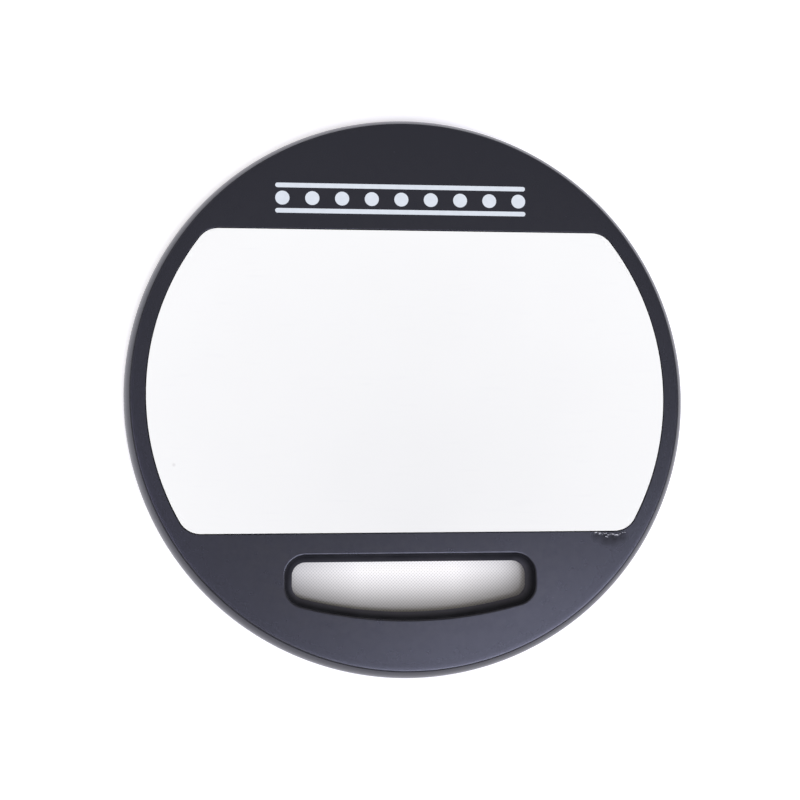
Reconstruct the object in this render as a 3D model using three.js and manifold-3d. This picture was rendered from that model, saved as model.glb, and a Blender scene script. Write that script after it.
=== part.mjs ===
// A round, flat practice pad for brushes and sticks, with a coated playing surface and a carrying slot.
// Millimetres. +Z points up through the playing surface, and the slot lies towards -Y.
// The origin is under the middle of the pad, on the surface that it stands on.
import * as THREE from 'three';
import { mergeVertices } from 'three/addons/utils/BufferGeometryUtils.js';
import Module from 'manifold-3d';

const wasm = await Module();
wasm.setup();

// Fineness of curves: the facets of one full turn, and the most that a facet cuts inside its arc
const RIM_FACETS = 72;
const BOSS_FACETS = 12;
const CHORD = 0.08;

// Clearance between neighbouring pieces
const GAP = 0.3;

// Heights above the standing surface
const FACE_Z = 20;
const WAIST_Z = 7;
const UNDERSIDE_Z = 1.5;
const FLOOR_TOP_Z = 4;

// Body: a tray whose wall swells to its widest at the waist
const BODY_RADIUS = 177.8;
const SWELL_RADIUS = 18.9;
const SWELL_CENTRE = BODY_RADIUS - SWELL_RADIUS;
const FOOT_RADIUS = 175;
const WALL = 2.4;

// Face plate: a flat plate let into the top of the body. Its rounded edge runs on into the body's swell
const PLATE_THICKNESS = 2.5;
const PLATE_UNDER_Z = FACE_Z - PLATE_THICKNESS;
const SEAT_Z = PLATE_UNDER_Z - GAP;
const EDGE_RADIUS = 1.2;
const EDGE_Z = FACE_Z - EDGE_RADIUS;
const EDGE_ANGLE = Math.asin((EDGE_Z - WAIST_Z) / (SWELL_RADIUS - EDGE_RADIUS));
const PLATE_RADIUS = SWELL_CENTRE + SWELL_RADIUS * Math.cos(EDGE_ANGLE);

// Playing surface: a disc with its top and bottom cut straight across and its corners rounded
const PLAY_RADIUS = 163.2;
const PLAY_TOP_Y = 103.2;
const PLAY_BOTTOM_Y = -88;
const PLAY_CORNER = 15;

// Carrying slot, at the face: straight on top, bowed below, with rounded corners
const SLOT_HALF_WIDTH = 78;
const SLOT_TOP_Y = -101.2;
const SLOT_BOTTOM_Y = -141.5;
const SLOT_BOW_RADIUS = 266;
const SLOT_CORNER = 13;
const SLOT_TAPER = 4.6;
const SLOT_LAND = 0.4;

// Layers under the playing surface, from the top down
const SHEET_TOP_Z = FACE_Z - 0.2;
const SHEET_THICKNESS = 0.4;
const FILM_THICKNESS = 0.25;
const FOAM_THICKNESS = 4;
const BOARD_THICKNESS = 5;
const FILM_TOP_Z = SHEET_TOP_Z - SHEET_THICKNESS - GAP;
const FOAM_TOP_Z = FILM_TOP_Z - FILM_THICKNESS - GAP;
const BOARD_TOP_Z = FOAM_TOP_Z - FOAM_THICKNESS - GAP;
const BOARD_UNDER_Z = BOARD_TOP_Z - BOARD_THICKNESS;

// Pocket inside the body that holds the layers: a wall round them and a grid of ribs below them
const POCKET_CLEARANCE = 0.6;
const POCKET_WALL = 1.4;
const RIB_THICKNESS = 2;
const RIB_PITCH = 54;
const RIB_TOP_Z = BOARD_UNDER_Z - GAP;

// Rubber ring that the pad stands on
const RING_INNER = 154.5;
const RING_OUTER = 161.5;
const RING_THICKNESS = 2.7;

// Screws: driven from below, through the body and into bosses under the face plate
const SCREW_CIRCLE = 168.2;
const RIM_SCREWS = 12;
const SLOT_SCREW_X = 45;
const SLOT_SCREW_Y = -94.6;
const SHANK_RADIUS = 1.2;
const SHANK_LENGTH = 12;
const HEAD_RADIUS = 2.8;
const HEAD_HEIGHT = 1.6;
const HEAD_TOP_Z = 3.4;
const BODY_BOSS_RADIUS = 4.8;
const BODY_BOSS_TOP_Z = 10;
const PLATE_BOSS_RADIUS = 2.8;
const PILOT_TOP_Z = PLATE_UNDER_Z - 0.5;

// A tool runs this far past the faces that it cuts
const OVERRUN = 2;

const QUARTER = Math.PI / 2;

// ---- from geometry to solids and back ----

function toSolid(geometry) {
  const bare = geometry.clone();
  bare.deleteAttribute('normal');
  bare.deleteAttribute('uv');
  const merged = mergeVertices(bare, 1e-4);
  const corners = Array.from(merged.index.array);
  const kept = [];
  for (let i = 0; i < corners.length; i += 3) {
    const [a, b, c] = corners.slice(i, i + 3);
    if (a !== b && b !== c && c !== a) kept.push(a, b, c);
  }
  return new wasm.Manifold(
    new wasm.Mesh({
      numProp: 3,
      vertProperties: new Float32Array(merged.attributes.position.array),
      triVerts: new Uint32Array(kept),
    }),
  );
}

function toGeometry(solid) {
  const mesh = solid.getMesh();
  const geometry = new THREE.BufferGeometry();
  geometry.setAttribute('position', new THREE.BufferAttribute(new Float32Array(mesh.vertProperties), 3));
  geometry.setIndex(new THREE.BufferAttribute(new Uint32Array(mesh.triVerts), 1));
  geometry.computeVertexNormals();
  return geometry;
}

// ---- outlines ----

// Points along an arc, as many as CHORD asks for
function arc(x, y, radius, from, to) {
  const step = 2 * Math.acos(1 - CHORD / radius);
  const count = Math.max(2, Math.ceil(Math.abs(to - from) / step));
  const points = [];
  for (let i = 0; i <= count; i += 1) {
    const angle = from + ((to - from) * i) / count;
    points.push(new THREE.Vector2(x + radius * Math.cos(angle), y + radius * Math.sin(angle)));
  }
  return points;
}

// A closed shape from stretches of points that meet end to end
function shapeOf(...stretches) {
  const points = stretches.flat();
  const apart = points.filter((point, i) => point.distanceTo(points.at(i - 1)) > 1e-6);
  return new THREE.Shape(apart);
}

// The outline of the playing surface, grown by a margin on every side
function playShape(margin) {
  const radius = PLAY_RADIUS + margin;
  const corner = PLAY_CORNER + margin;
  const topY = PLAY_TOP_Y - PLAY_CORNER;
  const bottomY = PLAY_BOTTOM_Y + PLAY_CORNER;
  const topX = Math.sqrt((PLAY_RADIUS - PLAY_CORNER) ** 2 - topY ** 2);
  const bottomX = Math.sqrt((PLAY_RADIUS - PLAY_CORNER) ** 2 - bottomY ** 2);
  const top = Math.atan2(topY, topX);
  const bottom = Math.atan2(bottomY, bottomX);
  return shapeOf(
    arc(0, 0, radius, bottom, top),
    arc(topX, topY, corner, top, QUARTER),
    arc(-topX, topY, corner, QUARTER, 2 * QUARTER - top),
    arc(0, 0, radius, 2 * QUARTER - top, 2 * QUARTER - bottom),
    arc(-bottomX, bottomY, corner, 2 * QUARTER - bottom, 3 * QUARTER),
    arc(bottomX, bottomY, corner, 3 * QUARTER, 4 * QUARTER + bottom),
  );
}

// The outline of the carrying slot at the face, grown by a margin on every side
function slotShape(margin) {
  const corner = SLOT_CORNER + margin;
  const cornerX = SLOT_HALF_WIDTH - SLOT_CORNER;
  const topY = SLOT_TOP_Y - SLOT_CORNER;
  const bowY = SLOT_BOTTOM_Y + SLOT_BOW_RADIUS;
  const spread = Math.asin(cornerX / (SLOT_BOW_RADIUS - SLOT_CORNER));
  const bottomY = bowY - (SLOT_BOW_RADIUS - SLOT_CORNER) * Math.cos(spread);
  return shapeOf(
    arc(0, bowY, SLOT_BOW_RADIUS + margin, 3 * QUARTER - spread, 3 * QUARTER + spread),
    arc(cornerX, bottomY, corner, 3 * QUARTER + spread, 4 * QUARTER),
    arc(cornerX, topY, corner, 0, QUARTER),
    arc(-cornerX, topY, corner, QUARTER, 2 * QUARTER),
    arc(-cornerX, bottomY, corner, 2 * QUARTER, 3 * QUARTER - spread),
  );
}

// ---- basic solids ----

function prism(shape, bottom, top) {
  const geometry = new THREE.ExtrudeGeometry(shape, { depth: top - bottom, bevelEnabled: false });
  return toSolid(geometry.translate(0, 0, bottom));
}

// A solid of revolution about Z. The profile's points are (radius, height), and its last meets its first.
function turned(profile, facets) {
  const geometry = new THREE.LatheGeometry([...profile, profile[0]], facets);
  return toSolid(geometry.rotateX(QUARTER));
}

function rod(x, y, radius, bottom, top, facets = BOSS_FACETS) {
  const geometry = new THREE.CylinderGeometry(radius, radius, top - bottom, facets);
  geometry.rotateX(QUARTER);
  return toSolid(geometry.translate(x, y, (bottom + top) / 2));
}

function block(sizeX, sizeY, x, y, bottom, top) {
  const geometry = new THREE.BoxGeometry(sizeX, sizeY, top - bottom);
  return toSolid(geometry.translate(x, y, (bottom + top) / 2));
}

// A layer that covers the whole plan of the pad between two heights
function slab(bottom, top) {
  return block(2 * BODY_RADIUS, 2 * BODY_RADIUS, 0, 0, bottom, top);
}

// The slot's space: it narrows from the face down to the waist and widens again below, at one draft
function slotBarrel(margin) {
  const depth = FACE_Z - WAIST_Z;
  const geometry = new THREE.ExtrudeGeometry(slotShape(0), {
    depth: SLOT_LAND,
    bevelThickness: depth,
    bevelSize: -SLOT_TAPER,
    bevelOffset: margin,
    bevelSegments: 1,
  });
  return toSolid(geometry.translate(0, 0, WAIST_Z - SLOT_LAND / 2));
}

// ---- pieces ----

function screwPlaces() {
  const places = [];
  for (let i = 0; i < RIM_SCREWS; i += 1) {
    const angle = (2 * Math.PI * (i + 0.5)) / RIM_SCREWS;
    places.push([SCREW_CIRCLE * Math.cos(angle), SCREW_CIRCLE * Math.sin(angle)]);
  }
  for (const side of [-1, 1]) {
    places.push([side * SLOT_SCREW_X, SLOT_SCREW_Y]);
  }
  return places;
}

function facePlate() {
  const edgeX = PLATE_RADIUS - EDGE_RADIUS * Math.cos(EDGE_ANGLE);
  let plate = turned(
    [
      new THREE.Vector2(0, PLATE_UNDER_Z),
      new THREE.Vector2(PLATE_RADIUS, PLATE_UNDER_Z),
      ...arc(edgeX, EDGE_Z, EDGE_RADIUS, EDGE_ANGLE, QUARTER),
      new THREE.Vector2(0, FACE_Z),
    ],
    RIM_FACETS,
  );
  plate = plate.subtract(prism(playShape(GAP), PLATE_UNDER_Z - OVERRUN, FACE_Z + OVERRUN));
  plate = plate.subtract(slotBarrel(0));
  for (const [x, y] of screwPlaces()) {
    plate = plate.add(rod(x, y, PLATE_BOSS_RADIUS, BODY_BOSS_TOP_Z + GAP, PLATE_UNDER_Z + GAP));
    plate = plate.subtract(rod(x, y, SHANK_RADIUS + GAP, BODY_BOSS_TOP_Z - OVERRUN, PILOT_TOP_Z));
  }
  return toGeometry(plate);
}

// The tray's floor and wall, with the groove for the rubber ring and the rebate for the face plate
function trayShell() {
  const lipRadius = PLATE_RADIUS + GAP;
  const lipAngle = Math.acos((lipRadius - SWELL_CENTRE) / SWELL_RADIUS);
  const insideRadius = SWELL_RADIUS - WALL;
  const lowerRise = WAIST_Z - UNDERSIDE_Z;
  const lowerReach = BODY_RADIUS - FOOT_RADIUS;
  const lowerRadius = (lowerRise ** 2 + lowerReach ** 2) / (2 * lowerReach);
  const lowerX = BODY_RADIUS - lowerRadius;
  const grooveTop = RING_THICKNESS + GAP;
  return turned(
    [
      new THREE.Vector2(0, UNDERSIDE_Z),
      new THREE.Vector2(RING_INNER - GAP, UNDERSIDE_Z),
      new THREE.Vector2(RING_INNER - GAP, grooveTop),
      new THREE.Vector2(RING_OUTER + GAP, grooveTop),
      new THREE.Vector2(RING_OUTER + GAP, UNDERSIDE_Z),
      ...arc(lowerX, WAIST_Z, lowerRadius, -Math.asin(lowerRise / lowerRadius), 0),
      ...arc(SWELL_CENTRE, WAIST_Z, SWELL_RADIUS, 0, lipAngle).slice(1),
      new THREE.Vector2(lipRadius, SEAT_Z),
      ...arc(SWELL_CENTRE, WAIST_Z, insideRadius, Math.asin((SEAT_Z - WAIST_Z) / insideRadius), 0),
      ...arc(lowerX, WAIST_Z, lowerRadius - WALL, 0, -Math.asin((WAIST_Z - FLOOR_TOP_Z) / (lowerRadius - WALL)))
        .slice(1),
      new THREE.Vector2(0, FLOOR_TOP_Z),
    ],
    RIM_FACETS,
  );
}

function pocket() {
  const floor = FLOOR_TOP_Z - GAP;
  const inside = prism(playShape(POCKET_CLEARANCE), floor - OVERRUN, SEAT_Z + OVERRUN);
  const wall = prism(playShape(POCKET_CLEARANCE + POCKET_WALL), floor, SEAT_Z).subtract(inside);
  const length = 2 * PLAY_RADIUS;
  const middleY = (PLAY_TOP_Y + PLAY_BOTTOM_Y) / 2;
  let ribs = block(length, RIB_THICKNESS, 0, middleY, floor, RIB_TOP_Z);
  for (const side of [-1, 1]) {
    ribs = ribs.add(block(length, RIB_THICKNESS, 0, middleY + side * RIB_PITCH, floor, RIB_TOP_Z));
  }
  for (const column of [-2, -1, 0, 1, 2]) {
    ribs = ribs.add(block(RIB_THICKNESS, length, column * RIB_PITCH, middleY, floor, RIB_TOP_Z));
  }
  return wall.add(ribs.intersect(inside));
}

function slotCollar() {
  return slotBarrel(WALL).intersect(slab(UNDERSIDE_Z, SEAT_Z));
}

function bodyTray() {
  let tray = trayShell().add(pocket()).add(slotCollar()).subtract(slotBarrel(0));
  for (const [x, y] of screwPlaces()) {
    tray = tray.add(rod(x, y, BODY_BOSS_RADIUS, FLOOR_TOP_Z - GAP, BODY_BOSS_TOP_Z));
  }
  for (const [x, y] of screwPlaces()) {
    tray = tray.subtract(rod(x, y, HEAD_RADIUS + GAP, UNDERSIDE_Z - OVERRUN, HEAD_TOP_Z + GAP));
    tray = tray.subtract(rod(x, y, SHANK_RADIUS + GAP, UNDERSIDE_Z, BODY_BOSS_TOP_Z + OVERRUN));
  }
  return toGeometry(tray);
}

// One of the flat layers that fill the playing surface's outline
function layer(top, thickness, margin) {
  return toGeometry(prism(playShape(margin), top - thickness, top));
}

function gripRing() {
  return toGeometry(
    turned(
      [
        new THREE.Vector2(RING_INNER, 0),
        new THREE.Vector2(RING_OUTER, 0),
        new THREE.Vector2(RING_OUTER, RING_THICKNESS),
        new THREE.Vector2(RING_INNER, RING_THICKNESS),
      ],
      RIM_FACETS,
    ),
  );
}

// A screw standing on its head, with its axis on Z
function screw() {
  return toGeometry(
    turned(
      [
        new THREE.Vector2(0, HEAD_TOP_Z - HEAD_HEIGHT),
        new THREE.Vector2(HEAD_RADIUS, HEAD_TOP_Z - HEAD_HEIGHT),
        new THREE.Vector2(HEAD_RADIUS, HEAD_TOP_Z),
        new THREE.Vector2(SHANK_RADIUS, HEAD_TOP_Z),
        new THREE.Vector2(SHANK_RADIUS, HEAD_TOP_Z + SHANK_LENGTH - SHANK_RADIUS),
        new THREE.Vector2(0, HEAD_TOP_Z + SHANK_LENGTH),
      ],
      BOSS_FACETS,
    ),
  );
}

// ---- the assembly ----

const pad = new THREE.Group();

function place(name, geometry, colour, roughness, metalness = 0) {
  const material = new THREE.MeshStandardMaterial({ color: colour, roughness, metalness });
  const mesh = new THREE.Mesh(geometry, material);
  mesh.name = name;
  pad.add(mesh);
  return mesh;
}

place('face_plate', facePlate(), '#2b2b31', 0.45);
place('body_tray', bodyTray(), '#2e2e34', 0.5);
place('play_sheet', layer(SHEET_TOP_Z, SHEET_THICKNESS, 0), '#f4f5f8', 0.55);
place('sheet_adhesive', layer(FILM_TOP_Z, FILM_THICKNESS, -GAP), '#d9d6c8', 0.3);
place('foam_layer', layer(FOAM_TOP_Z, FOAM_THICKNESS, 0), '#3c3d40', 0.95);
place('core_board', layer(BOARD_TOP_Z, BOARD_THICKNESS, 0), '#8f6b45', 0.8);
place('grip_ring', gripRing(), '#18181a', 0.9);

screwPlaces().forEach(([x, y], i) => {
  const name = `screw_${String(i + 1).padStart(2, '0')}`;
  place(name, screw(), '#85878b', 0.35, 1).position.set(x, y, 0);
});

export default pad;
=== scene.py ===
import math
import random

import bmesh
import bpy
from mathutils import Matrix, Quaternion, Vector


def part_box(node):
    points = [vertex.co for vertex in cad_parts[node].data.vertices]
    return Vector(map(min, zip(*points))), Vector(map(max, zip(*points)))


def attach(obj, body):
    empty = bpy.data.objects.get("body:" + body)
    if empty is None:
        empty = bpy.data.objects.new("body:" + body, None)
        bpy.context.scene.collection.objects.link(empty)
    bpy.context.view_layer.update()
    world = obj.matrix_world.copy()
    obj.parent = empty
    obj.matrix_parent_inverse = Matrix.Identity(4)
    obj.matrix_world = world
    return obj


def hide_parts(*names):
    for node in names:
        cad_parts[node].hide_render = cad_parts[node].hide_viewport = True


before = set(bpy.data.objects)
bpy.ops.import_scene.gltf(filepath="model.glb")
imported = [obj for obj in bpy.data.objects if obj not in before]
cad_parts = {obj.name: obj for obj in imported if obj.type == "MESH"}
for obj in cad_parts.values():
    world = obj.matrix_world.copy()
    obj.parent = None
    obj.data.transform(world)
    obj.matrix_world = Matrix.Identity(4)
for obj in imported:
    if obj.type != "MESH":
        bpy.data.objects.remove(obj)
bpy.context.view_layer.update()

MM = 0.001
QUARTER = math.pi / 2


def frame_box(node):
    """A CAD node's lowest and highest corners, in millimetres."""
    low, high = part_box(node)
    return low / MM, high / MM


plate_high = frame_box("face_plate")[1]
body_low, body_high = frame_box("body_tray")
sheet_low, sheet_high = frame_box("play_sheet")
ring_high = frame_box("grip_ring")[1]

# ---- driving dimensions, in millimetres ----

GAP = 0.3
FACE_Z = plate_high.z
UNDERSIDE_Z = body_low.z
BODY_RADIUS = body_high.x

# Body: its wall swells to its widest at the waist
WAIST_Z = 7.0
SWELL_RADIUS = 18.9
SWELL_CENTRE = BODY_RADIUS - SWELL_RADIUS
FLOOR_TOP_Z = 4.0
FOOT_RADIUS = 175.0
WALL = 2.4
PARTING_RIDGE = 0.05

# Face plate: its face falls a little over the crown, and its rounded edge runs on into the body's swell.
# The seam between them is a hairline, and the plate's play is how far it lies off the body's centre.
PLATE_RADIUS = plate_high.x
PLATE_THICKNESS = 2.5
PLATE_UNDER_Z = FACE_Z - PLATE_THICKNESS
SEAT_Z = PLATE_UNDER_Z - GAP
EDGE_RADIUS = 1.2
EDGE_Z = FACE_Z - EDGE_RADIUS
EDGE_ANGLE = math.asin((EDGE_Z - WAIST_Z) / (SWELL_RADIUS - EDGE_RADIUS))
CROWN_WIDTH = 2.2
CROWN_SLOPE = math.radians(1.8)
SEAM = 0.17
PLATE_PLAY = (0.03, 0.13)
RIM_EASE = 0.03
WINDOW_EDGE = 0.25
CUT_EASE = 0.05

# Playing surface: its layers are trimmed a little smaller than in the CAD part
LAYER_TRIM = 0.2
PLAY_RADIUS = 163.2
PLAY_CORNER = 15.0
PLAY_TOP_Y = sheet_high.y
PLAY_BOTTOM_Y = sheet_low.y

# Carrying slot, where its wall meets the rounded edge of the face. The wall draws in by the taper, down to a
# waist with a rounded nose, whose steps are heights above and below the waist in nose radii.
SLOT_HALF_WIDTH = 78.0
SLOT_TOP_Y = -101.2
SLOT_BOTTOM_Y = -141.5
SLOT_BOW_RADIUS = 266.0
SLOT_CORNER = 13.0
SLOT_TAPER = 4.6
SLOT_NOSE = 0.7
NOSE_STEPS = (-4, -2.6, -1.6, -1, -0.5, 0, 0.5, 1, 1.6, 2.6, 4)
SLOT_EDGE = 1.1
SLOT_WALL_TOP_Z = 19.3
SLOT_WALL_EASE = 0.15
SLOT_FOOT_EDGE = 0.5
SLOT_FOOT_BEVEL = 0.15
SLOT_DRAFT = SLOT_TAPER / (SLOT_WALL_TOP_Z - WAIST_Z - SLOT_NOSE)

# Pocket and ribs inside the body
POCKET_CLEARANCE = 0.6
POCKET_WALL = 1.4
RIB_THICKNESS = 2.0
RIB_PITCH = 54.0
RIB_TOP_Z = 9.0

# Marks in the underside: the gate's in the middle, and rings of ejector pins as (radius, count)
MARK_DEPTH = 0.15
GATE_RADIUS = 3.5
EJECTOR_RADIUS = 5.0
EJECTOR_RINGS = ((62, 6), (128, 9))

# Rubber ring
RING_INNER = 154.5
RING_OUTER = ring_high.x
RING_THICKNESS = ring_high.z
RING_EDGE = 0.5
GROOVE_WIDTH = 0.8
GROOVE_DEPTH = 0.45
GROOVE_TAPER = 0.12
GROOVES = 3

# Screws and their bosses
SHANK_RADIUS = 1.2
HEAD_RADIUS = 2.8
HEAD_TOP_Z = 3.4
BODY_BOSS_RADIUS = 4.8
BODY_BOSS_TOP_Z = 10.0
PLATE_BOSS_RADIUS = 2.8
BLIND_END = 0.5
BORE_EASE = 0.25
SCREWS = sorted(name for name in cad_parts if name.startswith("screw_"))

# Points in a full circle, in a small circle, and in a corner
ROUND = 288
SMALL = 40
CORNER = 14

# Edges that are bent by less than this are shaded smooth
SHARP = math.radians(34)


def screw_place(node):
    low, high = frame_box(node)
    return (low.x + high.x) / 2, (low.y + high.y) / 2


# ---- outlines: lists of (x, y), with as many points at every margin ----


def arc(x, y, radius, start, end, steps, last=True):
    """Points along an arc, with or without its last point."""
    count = steps + 1 if last else steps
    angles = [start + (end - start) * i / steps for i in range(count)]
    return [(x + radius * math.cos(a), y + radius * math.sin(a)) for a in angles]


def circle(radius, x=0.0, y=0.0, count=ROUND):
    return arc(x, y, radius, 0, math.tau, count, last=False)


def play_outline(margin):
    """The playing surface's outline, grown by a margin: two long arcs, two straight edges, round corners."""
    inner = PLAY_RADIUS - PLAY_CORNER
    top_y = PLAY_TOP_Y - PLAY_CORNER
    low_y = PLAY_BOTTOM_Y + PLAY_CORNER
    top_x = math.sqrt(inner**2 - top_y**2)
    low_x = math.sqrt(inner**2 - low_y**2)
    top = math.atan2(top_y, top_x)
    low = math.atan2(low_y, low_x)
    side = ROUND // 5
    radius = PLAY_RADIUS + margin
    corner = PLAY_CORNER + margin
    return (
        arc(0, 0, radius, low, top, side, last=False)
        + arc(top_x, top_y, corner, top, QUARTER, CORNER)
        + arc(-top_x, top_y, corner, QUARTER, 2 * QUARTER - top, CORNER, last=False)
        + arc(0, 0, radius, 2 * QUARTER - top, 2 * QUARTER - low, side, last=False)
        + arc(-low_x, low_y, corner, 2 * QUARTER - low, 3 * QUARTER, CORNER)
        + arc(low_x, low_y, corner, 3 * QUARTER, 4 * QUARTER + low, CORNER, last=False)
    )


def slot_outline(margin):
    """The slot's outline, grown by a margin: straight on top and bowed below."""
    corner_x = SLOT_HALF_WIDTH - SLOT_CORNER
    top_y = SLOT_TOP_Y - SLOT_CORNER
    bow_y = SLOT_BOTTOM_Y + SLOT_BOW_RADIUS
    inner = SLOT_BOW_RADIUS - SLOT_CORNER
    spread = math.asin(corner_x / inner)
    low_y = bow_y - inner * math.cos(spread)
    corner = SLOT_CORNER + margin
    down = 3 * QUARTER
    bow = arc(0, bow_y, SLOT_BOW_RADIUS + margin, down - spread, down + spread, 4 * CORNER, last=False)
    return (
        bow
        + arc(corner_x, low_y, corner, down + spread, 4 * QUARTER, CORNER)
        + arc(corner_x, top_y, corner, 0, QUARTER, CORNER)
        + arc(-corner_x, top_y, corner, QUARTER, 2 * QUARTER, CORNER)
        + arc(-corner_x, low_y, corner, 2 * QUARTER, down - spread, CORNER, last=False)
    )


def slot_wall(z):
    """The slot wall's margin at a height: it draws in down to a rounded waist and out again below it."""
    return SLOT_DRAFT * (math.hypot(z - WAIST_Z, SLOT_NOSE) - SLOT_NOSE) - SLOT_TAPER


def quarter_round(margin, z, across, down, steps=6):
    """A rounded edge as (margin, z) pairs: it leaves (margin, z) level, and ends going straight down."""
    turns = [QUARTER * i / steps for i in range(steps + 1)]
    return [(margin + across * math.sin(t), z - down * (1 - math.cos(t))) for t in turns]


# ---- meshes ----


class Shell:
    """A piece's mesh, made of rings of points that are joined by walls and closed by flats."""

    def __init__(self):
        self.mesh = bmesh.new()
        self.wear = self.mesh.verts.layers.float.new("wear")
        self.polish = self.mesh.verts.layers.float.new("polish")

    def ring(self, outline, z, wear=0.0, polish=0.0):
        """One ring of points at a height. Wear is how rubbed the piece is there, and polish is how smooth
        its mould was, both from 0 to 1."""
        made = []
        for x, y in outline:
            vert = self.mesh.verts.new((x * MM, y * MM, z * MM))
            vert[self.wear] = wear
            vert[self.polish] = polish
            made.append(vert)
        return made

    def walls(self, *rings, finish=0):
        """Quads from each ring to the next, in one of the piece's finishes. All rings have as many points."""
        for one, other in zip(rings, rings[1:]):
            for i in range(len(one)):
                face = self.mesh.faces.new((one[i - 1], one[i], other[i], other[i - 1]))
                face.material_index = finish

    def flat(self, *rings):
        """Fills the plane between an outer ring and the rings of its holes."""
        edges = []
        for ring in rings:
            for i in range(len(ring)):
                pair = (ring[i - 1], ring[i])
                edges.append(self.mesh.edges.get(pair) or self.mesh.edges.new(pair))
        bmesh.ops.triangle_fill(self.mesh, use_beauty=True, edges=edges)

    def sweep(self, outline, profile, wear=0.0, polish=0.0, finish=0):
        """Walls along a profile of (margin, z) pairs. Returns the rings."""
        rings = [self.ring(outline(margin), z, wear, polish) for margin, z in profile]
        self.walls(*rings, finish=finish)
        return rings

    def bar(self, low, high):
        """A closed box between two corners."""
        corners = [(low[0], low[1]), (high[0], low[1]), (high[0], high[1]), (low[0], high[1])]
        bottom = self.ring(corners, low[2])
        top = self.ring(corners, high[2])
        self.walls(bottom, top)
        self.mesh.faces.new(bottom)
        self.mesh.faces.new(top)

    def piece(self, name, materials, replaced=()):
        """Ends the mesh and makes it a piece that rides on the pad's one body."""
        bmesh.ops.recalc_face_normals(self.mesh, faces=self.mesh.faces)
        shade_smooth(self.mesh)
        data = bpy.data.meshes.new(name)
        self.mesh.to_mesh(data)
        self.mesh.free()
        for material in materials:
            data.materials.append(material)
        return settle(bpy.data.objects.new(name, data), replaced)


def shade_smooth(mesh):
    """Shades a mesh smooth, apart from its sharp edges."""
    for face in mesh.faces:
        face.smooth = True
    for edge in mesh.edges:
        edge.smooth = edge.calc_face_angle(0) < SHARP


def settle(obj, replaced=()):
    """Links an object, keeps flat faces flat in its shading, and ties it to the frame."""
    bpy.context.scene.collection.objects.link(obj)
    weighted = obj.modifiers.new("flat_faces_stay_flat", "WEIGHTED_NORMAL")
    weighted.keep_sharp = True
    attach(obj, "root")
    if replaced:
        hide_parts(*replaced)
    return obj


# ---- materials ----


def scaled(colour, factor):
    """A colour made brighter or darker."""
    return tuple(channel * factor for channel in colour)


class Graph:
    """A material under construction. Sizes are in millimetres, unless a method says otherwise."""

    def __init__(self, name, colour, roughness, metallic=0.0, specular=0.5):
        self.material = bpy.data.materials.new(name)
        self.material.use_nodes = True
        self.tree = self.material.node_tree
        self.shader = self.tree.nodes["Principled BSDF"]
        self.shader.inputs["Base Color"].default_value = (*colour, 1)
        self.shader.inputs["Roughness"].default_value = roughness
        self.shader.inputs["Metallic"].default_value = metallic
        self.shader.inputs["Specular IOR Level"].default_value = specular
        self.where = self.add("ShaderNodeTexCoord").outputs["Object"]

    def add(self, kind, inputs=(), **settings):
        node = self.tree.nodes.new(kind)
        for key, value in settings.items():
            setattr(node, key, value)
        for key, value in dict(inputs).items():
            self.feed(node.inputs[key], value)
        return node

    def feed(self, socket, value):
        if isinstance(value, bpy.types.NodeSocket):
            self.tree.links.new(value, socket)
        else:
            socket.default_value = value

    def noise(self, size, detail=2.0, stretch=(1, 1, 1), rough=0.5):
        """Noise whose features are about size across, drawn out by stretch along each axis."""
        scale = [1 / (size * MM * s) for s in stretch]
        mapped = self.add("ShaderNodeMapping", {"Vector": self.where, "Scale": scale})
        inputs = {"Vector": mapped.outputs[0], "Scale": 1.0, "Detail": detail, "Roughness": rough}
        return self.add("ShaderNodeTexNoise", inputs).outputs["Fac"]

    def cells(self, size):
        inputs = {"Vector": self.where, "Scale": 1 / (size * MM)}
        return self.add("ShaderNodeTexVoronoi", inputs).outputs["Distance"]

    def span(self, value, low, high, to_low=0.0, to_high=1.0):
        """Maps a value from one range to another, and holds it inside."""
        inputs = {"Value": value, "From Min": low, "From Max": high, "To Min": to_low, "To Max": to_high}
        return self.add("ShaderNodeMapRange", inputs, clamp=True).outputs[0]

    def math(self, operation, one, other=0.0):
        return self.add("ShaderNodeMath", {0: one, 1: other}, operation=operation).outputs[0]

    def blend(self, share, one, other):
        """A colour between two others."""
        node = self.add("ShaderNodeMix", data_type="RGBA")
        self.feed(node.inputs["Factor"], share)
        for socket, value in ((node.inputs[6], one), (node.inputs[7], other)):
            self.feed(socket, (*value, 1) if isinstance(value, tuple) else value)
        return node.outputs[2]

    def axis(self, letter):
        """The position along one axis, in metres."""
        return self.add("ShaderNodeSeparateXYZ", {0: self.where}).outputs[letter]

    def along(self, letter, start, end, at_start, at_end):
        """A value that changes between two positions along an axis."""
        return self.span(self.axis(letter), start * MM, end * MM, at_start, at_end)

    def attribute(self, name):
        return self.add("ShaderNodeAttribute", attribute_name=name).outputs["Fac"]

    def near(self, x, y, z, radius):
        """1 at a point and 0 at a radius from it."""
        spot = (x * MM, y * MM, z * MM)
        distance = self.add("ShaderNodeVectorMath", {0: self.where, 1: spot}, operation="DISTANCE")
        return self.span(distance.outputs["Value"], 0, radius * MM, 1, 0)

    def bump(self, height, depth, after=None):
        """Relief of a depth in millimetres, added to any before it."""
        inputs = {"Height": height, "Distance": depth * MM, "Strength": 1.0}
        if after:
            inputs["Normal"] = after
        return self.add("ShaderNodeBump", inputs).outputs[0]

    def finish(self, colour=None, roughness=None, normal=None):
        for name, value in (("Base Color", colour), ("Roughness", roughness), ("Normal", normal)):
            if value is not None:
                self.feed(self.shader.inputs[name], value)
        return self.material


SHEEN = 0.62
SHEEN_TINT = (0.81, 0.83, 1.0, 1)
DUST = (0.3, 0.3, 0.31)


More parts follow.
